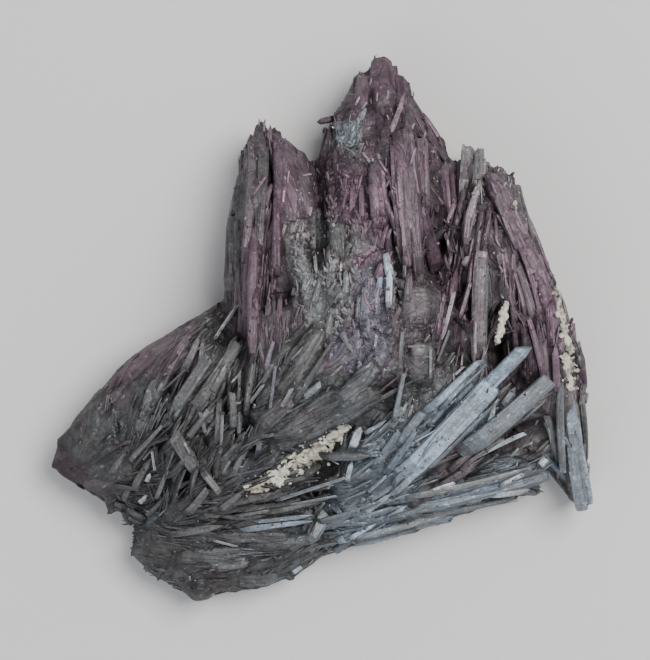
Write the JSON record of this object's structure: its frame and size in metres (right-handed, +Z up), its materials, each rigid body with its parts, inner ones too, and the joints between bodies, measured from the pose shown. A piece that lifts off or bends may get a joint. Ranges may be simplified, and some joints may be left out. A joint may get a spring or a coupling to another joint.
{
  "type": "stibnite crystal specimen",
  "caption": "Spray of grown-together grey metallic stibnite blades in three peaks, side lobes and a fan, with pale mineral crusts, lying on its flat broken back.",
  "frame": {"origin": "middle of the box round the specimen, on its flat broken back", "axes": "+Z up out of the crystal face, +Y towards the main peak, +X towards the leg side"},
  "size_m": [0.0679, 0.0687, 0.0248],
  "materials": {
    "stibnite": "striated natural crystal with a dull metallic lustre, violet-brown and blue-grey tarnish",
    "pale_mineral": "matt granular cream crust"
  },
  "bodies": {
    "root": {"stibnite_mass": "stibnite", "pale_crust_vein": "pale_mineral", "pale_crust_edge_upper": "pale_mineral", "pale_crust_edge_lower": "pale_mineral", "pale_crystal": "pale_mineral"}
  },
  "joints": []
}
